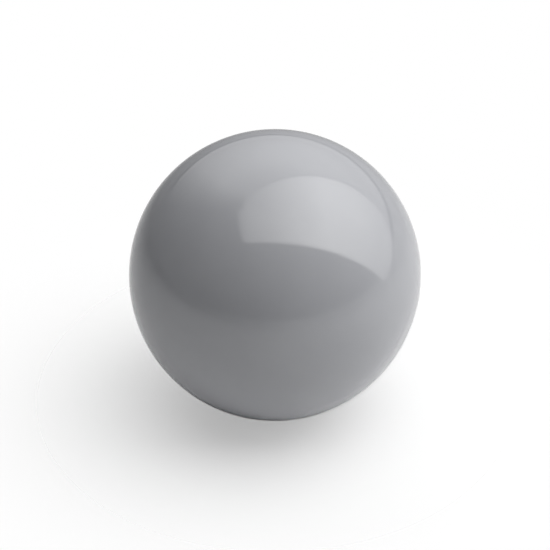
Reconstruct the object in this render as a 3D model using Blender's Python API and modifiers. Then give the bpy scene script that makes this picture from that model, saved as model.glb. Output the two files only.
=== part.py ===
"""Cue ball for a coin-operated pool table, built in layers around one centre.

Frame: metres, origin at the ball's centre, +Z up. The two core locating pins lie on the X axis, and every
piece is turned about that axis.
"""

import math

import bpy

# Driving dimensions.
BALL_DIAMETER = 0.05715  # regulation pool ball, 2 1/4 inches
LAYER_THICKNESS = 0.0015  # iron-filled resin, enough for the table's magnet to feel
BOND_GAP = 0.0003  # between touching faces
PIN_DIAMETER = 0.004
PIN_DEPTH_IN_CORE = 0.004
PIN_CHAMFER = 0.0004

# A dense layer at sqrt(0.6) of the ball's radius leaves the ball's moment of inertia at the 2/5 m r^2 of an
# even ball, so the layered ball rolls and spins like the numbered ones.
GYRATION_SHARE = math.sqrt(0.6)

BALL_RADIUS = BALL_DIAMETER / 2
LAYER_MIDDLE = BALL_RADIUS * GYRATION_SHARE
LAYER_OUTER = LAYER_MIDDLE + LAYER_THICKNESS / 2
LAYER_INNER = LAYER_MIDDLE - LAYER_THICKNESS / 2
SHELL_INNER = LAYER_OUTER + BOND_GAP
CORE_RADIUS = LAYER_INNER - BOND_GAP
PIN_RADIUS = PIN_DIAMETER / 2
PIN_HOLE_RADIUS = PIN_RADIUS + BOND_GAP
SOCKET_FLOOR = CORE_RADIUS - PIN_DEPTH_IN_CORE

# Facets: a skin arc runs from one pin hole to the other, and turns take the profile round the pin axis.
SKIN_ARC_FACETS = 32
INNER_ARC_FACETS = 20
SKIN_TURNS = 64
INNER_TURNS = 48
PIN_TURNS = 24
PIN_CAP_FACETS = 2
MERGE_DISTANCE = 0.00001

# Colour, roughness and metallic value of each material.
MATERIALS = {
    "polished_resin": ((0.335, 0.34, 0.356, 1.0), 0.1, 0.0),
    "iron_filled_resin": ((0.045, 0.043, 0.042, 1.0), 0.6, 0.25),
    "core_resin": ((0.46, 0.44, 0.40, 1.0), 0.55, 0.0),
}


def clear_scene():
    for obj in list(bpy.data.objects):
        bpy.data.objects.remove(obj)


def make_material(name):
    colour, roughness, metallic = MATERIALS[name]
    material = bpy.data.materials.new(name)
    material.use_nodes = True
    shader = material.node_tree.nodes["Principled BSDF"]
    shader.inputs["Base Color"].default_value = colour
    shader.inputs["Roughness"].default_value = roughness
    shader.inputs["Metallic"].default_value = metallic
    return material


def arc(radius, start_radius, end_radius, facets):
    """Points (distance from the axis, height) over a sphere's top-to-bottom side.

    The arc starts at start_radius from the axis in the upper half and ends at end_radius from it in the
    lower half.
    """
    start = math.asin(start_radius / radius)
    end = math.pi - math.asin(end_radius / radius)
    angles = [start + (end - start) * i / facets for i in range(facets + 1)]
    return [(radius * math.sin(a), radius * math.cos(a)) for a in angles]


def turned(name, profile, closed, turns, material, collection):
    """A solid of revolution about the object's own Z, from a profile of (distance from axis, height)."""
    count = len(profile)
    edges = [(i, i + 1) for i in range(count - 1)]
    if closed:
        edges.append((count - 1, 0))
    mesh = bpy.data.meshes.new(name)
    mesh.from_pydata([(r, 0.0, h) for r, h in profile], edges, [])
    mesh.materials.append(material)
    obj = bpy.data.objects.new(name, mesh)
    collection.objects.link(obj)
    screw = obj.modifiers.new("Turn", "SCREW")
    screw.axis = "Z"
    screw.angle = math.tau
    screw.steps = turns
    screw.render_steps = turns
    screw.use_merge_vertices = True
    screw.merge_threshold = MERGE_DISTANCE
    screw.use_smooth_shade = True
    return obj


def hollow_ball_profile(outer, inner, outer_facets, inner_facets):
    """Closed outline of a spherical wall with a pin hole at each end of its axis."""
    outside = arc(outer, PIN_HOLE_RADIUS, PIN_HOLE_RADIUS, outer_facets)
    inside = arc(inner, PIN_HOLE_RADIUS, PIN_HOLE_RADIUS, inner_facets)
    return outside + inside[::-1]


def core_profile():
    """Solid ball with a blind pin socket at each end of its axis."""
    skin = arc(CORE_RADIUS, PIN_HOLE_RADIUS, PIN_HOLE_RADIUS, INNER_ARC_FACETS)
    top_socket = [(0.0, SOCKET_FLOOR), (PIN_HOLE_RADIUS, SOCKET_FLOOR)]
    bottom_socket = [(r, -h) for r, h in reversed(top_socket)]
    return top_socket + skin + bottom_socket


def pin_profile():
    """Dowel along its own Z, its outer end ground to the ball's surface and its inner end chamfered."""
    cap_edge = math.asin(PIN_RADIUS / BALL_RADIUS)
    cap_angles = [cap_edge * i / PIN_CAP_FACETS for i in range(PIN_CAP_FACETS + 1)]
    cap = [(BALL_RADIUS * math.sin(a), BALL_RADIUS * math.cos(a)) for a in cap_angles]
    tip = SOCKET_FLOOR + BOND_GAP
    chamfered_end = [(PIN_RADIUS, tip + PIN_CHAMFER), (PIN_RADIUS - PIN_CHAMFER, tip), (0.0, tip)]
    return cap + chamfered_end


def build():
    clear_scene()
    ball = bpy.data.collections.new("cue_ball")
    bpy.context.scene.collection.children.link(ball)
    materials = {name: make_material(name) for name in MATERIALS}

    # The pin axis is the world's X, so each turned piece's own Z is laid along it.
    towards_right = (0.0, math.pi / 2, 0.0)
    towards_left = (0.0, -math.pi / 2, 0.0)

    shell = turned(
        "outer_shell",
        hollow_ball_profile(BALL_RADIUS, SHELL_INNER, SKIN_ARC_FACETS, INNER_ARC_FACETS),
        True,
        SKIN_TURNS,
        materials["polished_resin"],
        ball,
    )
    layer = turned(
        "magnetic_layer",
        hollow_ball_profile(LAYER_OUTER, LAYER_INNER, INNER_ARC_FACETS, INNER_ARC_FACETS),
        True,
        INNER_TURNS,
        materials["iron_filled_resin"],
        ball,
    )
    core = turned(
        "resin_core", core_profile(), False, INNER_TURNS, materials["core_resin"], ball
    )
    for obj in (shell, layer, core):
        obj.rotation_euler = towards_right

    for name, facing in (
        ("locating_pin_right", towards_right),
        ("locating_pin_left", towards_left),
    ):
        pin = turned(
            name, pin_profile(), False, PIN_TURNS, materials["polished_resin"], ball
        )
        pin.rotation_euler = facing


build()
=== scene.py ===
"""The looks of a layered cue ball: finely turned resin pieces, a polished grey skin and a small studio.

Lengths are in metres and angles in degrees. The ball's centre is the origin and +Z is up. The camera
stands on the -Y side, with +X at its right, and azimuths turn from +X towards +Y.
"""

import math

import bmesh
import bpy
from mathutils import Matrix, Vector


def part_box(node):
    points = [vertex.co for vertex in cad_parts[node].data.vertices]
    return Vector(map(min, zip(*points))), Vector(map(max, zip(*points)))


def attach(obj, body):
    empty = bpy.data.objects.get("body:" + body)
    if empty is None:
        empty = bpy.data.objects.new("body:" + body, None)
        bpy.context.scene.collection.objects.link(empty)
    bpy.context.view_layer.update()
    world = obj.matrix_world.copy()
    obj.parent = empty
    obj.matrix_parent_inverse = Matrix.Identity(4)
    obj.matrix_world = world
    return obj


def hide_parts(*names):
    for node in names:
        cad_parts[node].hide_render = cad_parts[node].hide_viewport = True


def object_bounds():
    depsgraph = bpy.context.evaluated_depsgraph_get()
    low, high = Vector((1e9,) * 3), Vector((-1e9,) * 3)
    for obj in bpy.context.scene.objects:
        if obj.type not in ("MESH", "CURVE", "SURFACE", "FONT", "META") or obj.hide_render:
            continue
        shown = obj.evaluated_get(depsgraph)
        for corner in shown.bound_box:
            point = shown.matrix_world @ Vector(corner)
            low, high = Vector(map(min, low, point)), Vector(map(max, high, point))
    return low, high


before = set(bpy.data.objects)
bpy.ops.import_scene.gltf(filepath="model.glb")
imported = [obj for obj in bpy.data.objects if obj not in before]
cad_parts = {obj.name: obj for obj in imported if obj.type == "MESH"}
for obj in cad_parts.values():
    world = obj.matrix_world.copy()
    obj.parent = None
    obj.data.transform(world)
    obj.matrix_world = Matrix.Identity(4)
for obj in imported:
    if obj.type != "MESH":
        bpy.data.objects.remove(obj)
cad_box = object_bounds()

# ---------------------------------------------------------------- sizes
BOND_LINE = 0.00003  # between two pieces
EDGE_BREAK = 0.00004  # rounding that polishing leaves on an edge
PIN_CHAMFER_SHARE = 0.2  # of the pin's radius, at its inner end
SKIN_ARC_FACETS = 160
WALL_ARC_FACETS = 56
PIN_CAP_FACETS = 8
SKIN_TURNS = 240
INNER_TURNS = 96  # of every piece but the skin
SHARP_EDGE = 35.0
MERGE_DISTANCE = BOND_LINE / 100

# ---------------------------------------------------------------- finishes
# Tints are linear and run from the darker to the paler. Scales are features to the metre.
SKIN_TINTS = ((0.329, 0.334, 0.353, 1.0), (0.341, 0.346, 0.365, 1.0))
SKIN_CLOUD_SCALE = 70.0
SKIN_HAZE_SCALE = 160.0
SKIN_ROUGHNESS = (0.075, 0.095)
SKIN_IOR = 1.58
SCRATCH_TURNS = ((0.3, 0.21, 0.4), (1.3, 0.91, 0.4), (2.2, 1.54, 0.4))  # radians, one set of scratches each
SCRATCH_STRETCH = (40, 260, 260)  # far fewer to the metre along a scratch than across it
SCRATCH_CELLS = 6.0
SCRATCH_WIDTH = 0.012  # share of a cell's width
SCRATCH_ROUGHNESS = 0.03  # added to the skin's
SCRATCH_DEPTH = 0.000001
SCRATCH_STRENGTH = 0.15

IRON_TINTS = ((0.040, 0.038, 0.037, 1.0), (0.16, 0.155, 0.15, 1.0))
IRON_GRAIN_SCALE = 2600.0
IRON_GRAIN_DEPTH = 0.00004
IRON_MATT_SCALE = 900.0
IRON_ROUGHNESS = (0.5, 0.68)
IRON_METALLIC = (0.1, 0.9)

CORE_TINTS = ((0.42, 0.40, 0.355, 1.0), (0.50, 0.48, 0.44, 1.0))
CORE_SWIRL_SCALE = 55.0
CORE_BUBBLE_SCALE = 420.0
CORE_BUBBLE_SIZE = 0.16  # radius, as a share of the space between bubbles
CORE_BUBBLE_DEPTH = 0.00006
CORE_ROUGHNESS = (0.48, 0.6)

# ---------------------------------------------------------------- camera
CAMERA_ELEVATION = 35.0
LENS_MM = 135.0
SENSOR_MM = 36.0
BALL_SHARE = 0.531  # of the picture's width

# ---------------------------------------------------------------- light
# Ramps are (position along the sheet, share of its radiance).
BOX_CENTRE = (0.234, 0.048, 0.457)
BOX_NORMAL = (-0.540, 0.162, -0.712)
BOX_LONG_AXIS = (0.773, 0.283, -0.551)
BOX_LENGTH = 1.74
BOX_WIDTH = 0.615
BOX_CORNER = 0.10
BOX_BORDER = 0.02  # over which its edge fades
BOX_RADIANCE = 3.96
BOX_ALONG = [(0.0, 0.26), (0.12, 0.43), (0.28, 0.53), (0.54, 1.0), (0.8, 0.50), (1.0, 0.33)]
BOX_ACROSS = [(0.0, 0.69), (0.5, 0.945), (0.8, 1.0), (1.0, 1.0)]

TENT_RADIUS = 0.95
TENT_RADIANCE = 1.33
TENT_LEFT_LOW = 138.0  # azimuth of its left edge at the bottom
TENT_LEFT_HIGH = 189.0  # and at the top
TENT_RIGHT = 25.0  # azimuth of its right edge
TENT_LOW = 4.3  # elevations
TENT_HIGH = 80.0
TENT_ALONG = [(0.0, 0.0), (0.11, 0.39), (0.22, 1.0), (1.0, 1.0)]
TENT_ACROSS = [(0.0, 0.50), (0.12, 0.49), (0.3, 0.72), (0.55, 1.0), (1.0, 0.75)]

ROOM_RADIANCE = 0.0
FAR_FLOOR_LEFT = 0.0  # radiance of the floor beyond the table, far to the left
FAR_FLOOR_RIGHT = 0.54  # and far to the right
FAR_FLOOR_FRONT = 0.2  # added towards the camera
HORIZON_BLUR = 0.015  # how far below the horizon it fades, as a share of the distance
SURROUND_RADIANCE = 1.0

TABLE_ALBEDO = 0.855
TABLE_ROUGHNESS = 0.8
TABLE_GLOSS = 0.2
TABLE_CENTRE = (-0.005, -0.116)
TABLE_REACH = (0.477, 0.327)  # where it has faded to nothing, along X and along Y
TABLE_FULL_SHARE = 0.20  # of that reach, still solid
SHADE_DEPTH = 0.6  # how much of the table's own shade the camera sees under the ball
SHADE_FULL = 0.025  # from the ball's centre, where it starts to fade into the surround
SHADE_GONE = 0.085


def radii(node):
    """Nearest and furthest distance of a CAD node's vertices from the ball's centre."""
    lengths = [v.co.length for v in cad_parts[node].data.vertices]
    return min(lengths), max(lengths)


ball_radius = radii("outer_shell")[1]
layer_inner, layer_outer = radii("magnetic_layer")
pin_low, pin_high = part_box("locating_pin_right")
pin_radius = pin_high.z
pin_tip = pin_low.x


# ---------------------------------------------------------------- meshes
def sphere_arc(radius, edge_radius, facets):
    """Points (along X, distance from X) over a sphere from +X to -X, stopping edge_radius from the axis."""
    start = math.asin(edge_radius / radius)
    sweep = math.pi - 2 * start
    angles = [start + sweep * i / facets for i in range(facets + 1)]
    return [(radius * math.cos(a), radius * math.sin(a)) for a in angles]


def turned(name, outline, closed, turns, material):
    """A solid turned about X from an outline of (along X, distance from X) points."""
    shape = bmesh.new()
    points = [shape.verts.new((x, 0.0, r)) for x, r in outline]
    pairs = list(zip(points, points[1:]))
    if closed:
        pairs.append((points[-1], points[0]))
    edges = [shape.edges.new(pair) for pair in pairs]
    bmesh.ops.spin(
        shape,
        geom=points + edges,
        cent=(0, 0, 0),
        axis=(1, 0, 0),
        angle=math.tau,
        steps=turns,
        use_merge=True,
    )
    bmesh.ops.remove_doubles(shape, verts=shape.verts, dist=MERGE_DISTANCE)
    bmesh.ops.recalc_face_normals(shape, faces=shape.faces)
    mesh = bpy.data.meshes.new(name)
    shape.to_mesh(mesh)
    shape.free()
    mesh.shade_smooth()
    mesh.set_sharp_from_angle(angle=math.radians(SHARP_EDGE))
    mesh.materials.append(material)
    obj = bpy.data.objects.new(name, mesh)
    bpy.context.scene.collection.objects.link(obj)
    return obj


def wall_outline(outer, inner, bore, outer_facets):
    """Closed outline of a spherical wall bored along X, with its outer bore edges broken."""
    outside = sphere_arc(outer, bore + EDGE_BREAK, outer_facets)
    inside = sphere_arc(inner, bore, WALL_ARC_FACETS)
    bore_top = math.sqrt(outer**2 - bore**2) - EDGE_BREAK
    return [(bore_top, bore)] + outside + [(-bore_top, bore)] + inside[::-1]


def core_outline(radius, bore, floor):
    """Ball with a blind round socket in each end of its X axis."""
    skin = sphere_arc(radius, bore, WALL_ARC_FACETS)
    return [(floor, 0.0), (floor, bore)] + skin + [(-floor, bore), (-floor, 0.0)]


def pin_outline():
    """Dowel on +X: its outer end is part of the ball's surface, and its inner end is chamfered."""
    cap_angle = math.asin((pin_radius - EDGE_BREAK) / ball_radius)
    angles = [cap_angle * i / PIN_CAP_FACETS for i in range(PIN_CAP_FACETS + 1)]
    cap = [(ball_radius * math.cos(a), ball_radius * math.sin(a)) for a in angles]
    side_top = math.sqrt(ball_radius**2 - pin_radius**2) - EDGE_BREAK
    chamfer = pin_radius * PIN_CHAMFER_SHARE
    return cap + [
        (side_top, pin_radius),
        (pin_tip + chamfer, pin_radius),
        (pin_tip, pin_radius - chamfer),
        (pin_tip, 0.0),
    ]


# ---------------------------------------------------------------- node helpers
class Shader:
    """Short calls for building the node tree of one material or world."""

    # A Mix node's sockets in its colour mode, whose names its other modes share.
    MIX_FIRST = 6
    MIX_SECOND = 7
    MIX_RESULT = 2

    def __init__(self, owner):
        owner.use_nodes = True
        self.owner = owner
        self.nodes = owner.node_tree.nodes
        self.links = owner.node_tree.links

    def main(self, socket):
        """An input of the material's Principled shader."""
        return self.nodes["Principled BSDF"].inputs[socket]

    def feed(self, socket, value):
        """Link an input to another node's output, or set it to a plain value."""
        if isinstance(value, bpy.types.NodeSocket):
            self.links.new(value, socket)
        else:
            socket.default_value = value

    def node(self, kind, settings=None, **inputs):
        """A new node, with its settings and its inputs by name."""
        node = self.nodes.new("ShaderNode" + kind)
        for key, value in (settings or {}).items():
            setattr(node, key, value)
        for key, value in inputs.items():
            self.feed(node.inputs[key], value)
        return node

    def place(self):
        return self.node("TexCoord").outputs["Object"]

    def noise(self, scale, detail=2.0, distortion=0.0):
        inputs = {"Scale": scale, "Detail": detail, "Distortion": distortion}
        return self.node("TexNoise", Vector=self.place(), **inputs).outputs["Fac"]

    def remap(self, value, low, high, to_low=0.0, to_high=1.0, smooth=False):
        """A value between low and high carried over to between to_low and to_high, and no further."""
        node = self.node("MapRange")
        node.interpolation_type = "SMOOTHSTEP" if smooth else "LINEAR"
        for socket, number in zip(node.inputs, (value, low, high, to_low, to_high)):
            self.feed(socket, number)
        return node.outputs["Result"]

    def math(self, operation, *values):
        node = self.node("Math", {"operation": operation})
        for socket, value in zip(node.inputs, values):
            self.feed(socket, value)
        return node.outputs["Value"]

    def length(self, vector):
        node = self.node("VectorMath", {"operation": "LENGTH"}, Vector=vector)
        return node.outputs["Value"]

    def blend(self, factor, first, second):
        node = self.node("Mix", {"data_type": "RGBA"}, Factor=factor)
        self.feed(node.inputs[self.MIX_FIRST], first)
        self.feed(node.inputs[self.MIX_SECOND], second)
        return node.outputs[self.MIX_RESULT]

    def bump(self, height, distance, strength=1.0):
        node = self.node("Bump", Strength=strength, Distance=distance, Height=height)
        return node.outputs["Normal"]


# ---------------------------------------------------------------- materials
def polished_resin():
    """Cast phenolic ball resin, cool mid grey and polished, with faint clouding and handling scratches."""
    shader = Shader(bpy.data.materials.new("polished_resin"))
    clouds = shader.noise(SKIN_CLOUD_SCALE, detail=3.0, distortion=0.4)
    paler = shader.remap(clouds, 0.3, 0.7, smooth=True)
    shader.feed(shader.main("Base Color"), shader.blend(paler, *SKIN_TINTS))

    haze = shader.noise(SKIN_HAZE_SCALE)
    polish = shader.remap(haze, 0.35, 0.7, *SKIN_ROUGHNESS, smooth=True)
    scratches = 0.0
    for turn in SCRATCH_TURNS:
        spread = shader.node(
            "Mapping", Vector=shader.place(), Rotation=turn, Scale=SCRATCH_STRETCH
        )
        cells = shader.node(
            "TexVoronoi",
            {"feature": "DISTANCE_TO_EDGE"},
            Vector=spread.outputs["Vector"],
            Scale=SCRATCH_CELLS,
        )
        edges = shader.remap(cells.outputs["Distance"], 0.0, SCRATCH_WIDTH, 1.0, 0.0)
        scratches = shader.math("MAXIMUM", scratches, edges)
    roughness = shader.math("MULTIPLY_ADD", scratches, SCRATCH_ROUGHNESS, polish)
    shader.feed(shader.main("Roughness"), roughness)
    grooves = shader.bump(scratches, -SCRATCH_DEPTH, strength=SCRATCH_STRENGTH)
    shader.feed(shader.main("Normal"), grooves)
    shader.main("IOR").default_value = SKIN_IOR
    return shader.owner


def iron_filled_resin():
    """Dark resin packed with iron powder: speckled, faintly metallic and matt."""
    shader = Shader(bpy.data.materials.new("iron_filled_resin"))
    grains = shader.node("TexVoronoi", Vector=shader.place(), Scale=IRON_GRAIN_SCALE)
    chance = shader.node("SeparateColor", Color=grains.outputs["Color"]).outputs["Red"]
    bright = shader.remap(chance, 0.82, 0.95)
    matt = shader.noise(IRON_MATT_SCALE)
    shader.feed(shader.main("Base Color"), shader.blend(bright, *IRON_TINTS))
    shader.feed(shader.main("Metallic"), shader.remap(bright, 0.0, 1.0, *IRON_METALLIC))
    shader.feed(shader.main("Roughness"), shader.remap(matt, 0.3, 0.7, *IRON_ROUGHNESS))
    bumps = shader.bump(grains.outputs["Distance"], IRON_GRAIN_DEPTH)
    shader.feed(shader.main("Normal"), bumps)
    return shader.owner


def core_resin():
    """Warm cream casting resin with flow swirls and pinhead bubbles, left as it was moulded."""
    shader = Shader(bpy.data.materials.new("core_resin"))
    swirl = shader.noise(CORE_SWIRL_SCALE, detail=4.0, distortion=2.2)
    paler = shader.remap(swirl, 0.35, 0.65, smooth=True)
    bubbles = shader.node("TexVoronoi", Vector=shader.place(), Scale=CORE_BUBBLE_SCALE)
    pit = shader.remap(bubbles.outputs["Distance"], 0.0, CORE_BUBBLE_SIZE, 1.0, 0.0, smooth=True)
    shader.feed(shader.main("Base Color"), shader.blend(paler, *CORE_TINTS))
    shader.feed(shader.main("Roughness"), shader.remap(swirl, 0.3, 0.7, *CORE_ROUGHNESS))
    shader.feed(shader.main("Normal"), shader.bump(pit, -CORE_BUBBLE_DEPTH))
    return shader.owner


# ---------------------------------------------------------------- the ball
def build_ball():
    """The five pieces, each standing in for its CAD node."""
    skin = polished_resin()
    bore = pin_radius + BOND_LINE

    shell = turned(
        "polished_shell",
        wall_outline(ball_radius, layer_outer + BOND_LINE, bore, SKIN_ARC_FACETS),
        closed=True,
        turns=SKIN_TURNS,
        material=skin,
    )
    layer = turned(
        "iron_layer",
        wall_outline(layer_outer, layer_inner, bore, WALL_ARC_FACETS),
        closed=True,
        turns=INNER_TURNS,
        material=iron_filled_resin(),
    )
    core = turned(
        "cast_core",
        core_outline(layer_inner - BOND_LINE, bore, pin_tip - BOND_LINE),
        closed=False,
        turns=INNER_TURNS,
        material=core_resin(),
    )
    stand_ins = [
        (shell, "outer_shell", "polished_resin"),
        (layer, "magnetic_layer", "iron_filled_resin"),
        (core, "resin_core", "core_resin"),
    ]
    for side, turn in (("right", 0.0), ("left", math.pi)):
        pin = turned(
            "pin_" + side, pin_outline(), closed=False, turns=INNER_TURNS, material=skin
        )
        pin.data.transform(Matrix.Rotation(turn, 4, "Z"))
        stand_ins.append((pin, "locating_pin_" + side, "polished_resin"))
    for piece, node, finish in stand_ins:
        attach(piece, "root")
        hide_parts(node)


# ---------------------------------------------------------------- studio
def glow(name, strength, along, across, outline=None):
    """Emission that follows one ramp along the sheet's U and another across its V, on its front side only.

    outline is (length, width, corner radius, soft border) where the glow ends in a rounded rectangle.
    """
    shader = Shader(bpy.data.materials.new(name))
    shader.nodes.remove(shader.nodes["Principled BSDF"])
    place = shader.node("SeparateXYZ", Vector=shader.node("TexCoord").outputs["UV"])
    level = strength
    for axis, stops in (("X", along), ("Y", across)):
        ramp = shader.node("ValToRGB", Fac=place.outputs[axis])
        elements = ramp.color_ramp.elements
        while len(elements) < len(stops):
            elements.new(0.5)
        for element, (position, value) in zip(elements, stops):
            element.position = position
            element.color = (value, value, value, 1.0)
        level = shader.math("MULTIPLY", ramp.outputs["Color"], level)
    if outline:
        *sides, corner, border = outline
        past_corner = shader.node("CombineXYZ")
        for axis, side in zip("XY", sides):
            off_centre = shader.math("MULTIPLY_ADD", place.outputs[axis], side, -side / 2)
            past = shader.math("SUBTRACT", shader.math("ABSOLUTE", off_centre), side / 2 - corner)
            shader.feed(past_corner.inputs[axis], shader.math("MAXIMUM", past, 0.0))
        reach = shader.length(past_corner.outputs["Vector"])
        inside = shader.remap(reach, corner - border, corner, 1.0, 0.0, smooth=True)
        level = shader.math("MULTIPLY", inside, level)
    front = shader.math("SUBTRACT", 1.0, shader.node("NewGeometry").outputs["Backfacing"])
    emission = shader.node("Emission", Strength=shader.math("MULTIPLY", level, front))
    shader.feed(shader.nodes["Material Output"].inputs["Surface"], emission.outputs["Emission"])
    return shader.owner


def light_sheet(name, point, material, columns=1, rows=1):
    """A grid of point(u, v) with u and v from 0 to 1, seen in reflections but not by the camera."""
    shape = bmesh.new()
    uv = shape.loops.layers.uv.new("UV")
    grid = [
        [shape.verts.new(point(i / columns, j / rows)) for i in range(columns + 1)]
        for j in range(rows + 1)
    ]
    for j in range(rows):
        for i in range(columns):
            corners = ((i, j), (i + 1, j), (i + 1, j + 1), (i, j + 1))
            face = shape.faces.new([grid[b][a] for a, b in corners])
            for loop, (a, b) in zip(face.loops, corners):
                loop[uv].uv = (a / columns, b / rows)
    mesh = bpy.data.meshes.new(name)
    shape.to_mesh(mesh)
    shape.free()
    mesh.shade_smooth()
    mesh.materials.append(material)
    sheet = bpy.data.objects.new(name, mesh)
    sheet.visible_camera = False
    bpy.context.scene.collection.objects.link(sheet)


def on_sphere(azimuth, elevation, radius):
    """Point in a direction given by its azimuth and elevation, radius away from the ball's centre."""
    turn, rise = math.radians(azimuth), math.radians(elevation)
    level = math.cos(rise)
    return Vector((math.cos(turn) * level, math.sin(turn) * level, math.sin(rise))) * radius


def build_softbox():
    """A long softbox leaning over the ball from the right, its far end low beside the table."""
    centre = Vector(BOX_CENTRE)
    normal = Vector(BOX_NORMAL).normalized()
    long_axis = Vector(BOX_LONG_AXIS)
    long_axis = (long_axis - normal * long_axis.dot(normal)).normalized()
    short_axis = normal.cross(long_axis)

    def point(u, v):
        return centre + long_axis * (u - 0.5) * BOX_LENGTH + short_axis * (v - 0.5) * BOX_WIDTH

    outline = (BOX_LENGTH, BOX_WIDTH, BOX_CORNER, BOX_BORDER)
    material = glow("softbox_glow", BOX_RADIANCE, BOX_ALONG, BOX_ACROSS, outline)
    light_sheet("softbox", point, material)


def build_tent():
    """The pale scrim behind the ball, brightest overhead and fading to the left and towards the table."""

    def point(u, v):
        left = TENT_LEFT_LOW + (TENT_LEFT_HIGH - TENT_LEFT_LOW) * v
        elevation = TENT_LOW + (TENT_HIGH - TENT_LOW) * v
        return on_sphere(left + (TENT_RIGHT - left) * u, elevation, TENT_RADIUS)

    material = glow("tent_glow", TENT_RADIANCE, TENT_ALONG, TENT_ACROSS)
    light_sheet("tent_back", point, material, columns=30, rows=16)


def build_table():
    """A pale oval table top that melts into the pale surround.

    The camera sees it only close under the ball, where its shade is.
    """
    shader = Shader(bpy.data.materials.new("table_white"))
    shader.main("Base Color").default_value = (TABLE_ALBEDO,) * 3 + (1.0,)
    shader.main("Roughness").default_value = TABLE_ROUGHNESS
    shader.main("Specular IOR Level").default_value = TABLE_GLOSS
    out = shader.length(shader.place())
    solid = shader.remap(out, TABLE_FULL_SHARE, 1.0, 1.0, 0.0, smooth=True)
    from_ball = shader.length(shader.node("NewGeometry").outputs["Position"])
    seen = shader.remap(from_ball, SHADE_FULL, SHADE_GONE, SHADE_DEPTH, 0.0, smooth=True)
    by_camera = shader.node("LightPath").outputs["Is Camera Ray"]
    alpha = shader.math("MULTIPLY_ADD", by_camera, shader.math("SUBTRACT", seen, solid), solid)
    shader.feed(shader.main("Alpha"), alpha)
    shape = bmesh.new()
    bmesh.ops.create_circle(shape, cap_ends=True, segments=96, radius=1.0)
    mesh = bpy.data.meshes.new("table")
    shape.to_mesh(mesh)
    shape.free()
    mesh.materials.append(shader.owner)
    table = bpy.data.objects.new("table", mesh)
    table.location = (*TABLE_CENTRE, cad_box[0].z)
    table.scale = (*TABLE_REACH, 1.0)
    bpy.context.scene.collection.objects.link(table)


def build_world():
    """A dark room whose dim floor runs to the horizon, and a plain pale surround for the camera."""
    shader = Shader(bpy.data.worlds.new("studio"))
    direction = shader.node("SeparateXYZ", Vector=shader.node("TexCoord").outputs["Generated"])
    sideways = shader.remap(direction.outputs["X"], -1.0, 1.0, FAR_FLOOR_LEFT, FAR_FLOOR_RIGHT)
    forward = shader.remap(direction.outputs["Y"], -1.0, 0.0, FAR_FLOOR_FRONT, 0.0)
    floor = shader.math("ADD", sideways, forward)
    light = shader.remap(direction.outputs["Z"], -HORIZON_BLUR, 0.0, floor, ROOM_RADIANCE)
    white = (1.0, 1.0, 1.0, 1.0)
    room = shader.node("Background", Color=white, Strength=light)
    surround = shader.node("Background", Color=white, Strength=SURROUND_RADIANCE)
    choose = shader.node("MixShader", Fac=shader.node("LightPath").outputs["Is Camera Ray"])
    shader.feed(choose.inputs[1], room.outputs["Background"])
    shader.feed(choose.inputs[2], surround.outputs["Background"])
    shader.feed(shader.nodes["World Output"].inputs["Surface"], choose.outputs["Shader"])
    bpy.context.scene.world = shader.owner


def build_camera():
    """A long lens that looks down on the ball and gives it BALL_SHARE of the picture's width."""
    data = bpy.data.cameras.new("camera")
    data.lens = LENS_MM
    data.sensor_width = SENSOR_MM
    ball_angle = math.atan(BALL_SHARE * SENSOR_MM / 2 / LENS_MM)
    back = on_sphere(-90.0, CAMERA_ELEVATION, ball_radius / math.sin(ball_angle))
    camera = bpy.data.objects.new("camera", data)
    camera.location = back
    camera.rotation_euler = (-back).to_track_quat("-Z", "Y").to_euler()
    bpy.context.scene.collection.objects.link(camera)
    bpy.context.scene.camera = camera


build_ball()
build_softbox()
build_tent()
build_table()
build_world()
build_camera()
bpy.context.scene.view_settings.view_transform = "Standard"
